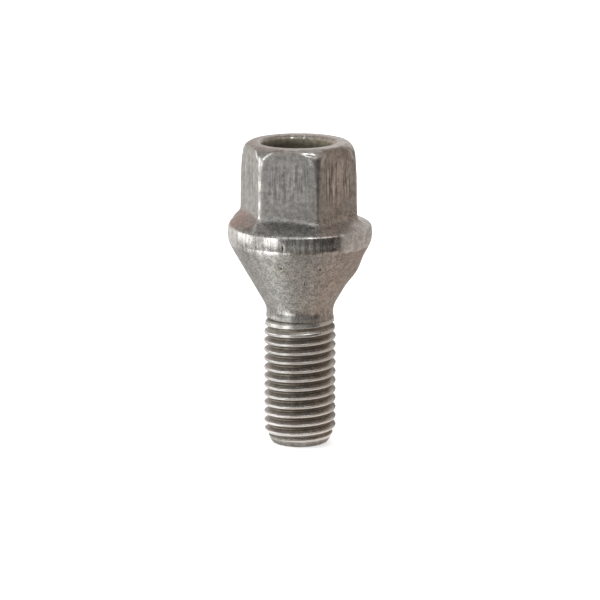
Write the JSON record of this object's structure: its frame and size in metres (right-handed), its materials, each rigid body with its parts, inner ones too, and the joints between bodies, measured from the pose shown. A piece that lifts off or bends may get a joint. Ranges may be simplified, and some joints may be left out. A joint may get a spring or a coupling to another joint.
{
  "type": "wheel bolt",
  "caption": "Steel wheel bolt with a rolled thread, a cone seat under a round collar, and a hexagon head with a round recess in its top.",
  "frame": {"origin": "centre of the threaded end's flat face, which the bolt stands on", "axes": "+Z along the bolt's axis towards the head; -Y faces one flat of the hexagon"},
  "size_m": [0.0236, 0.0236, 0.0502],
  "materials": {
    "steel": "bare forged steel, satin and worn"
  },
  "bodies": {
    "root": {"wheel_bolt": "steel"}
  },
  "joints": []
}
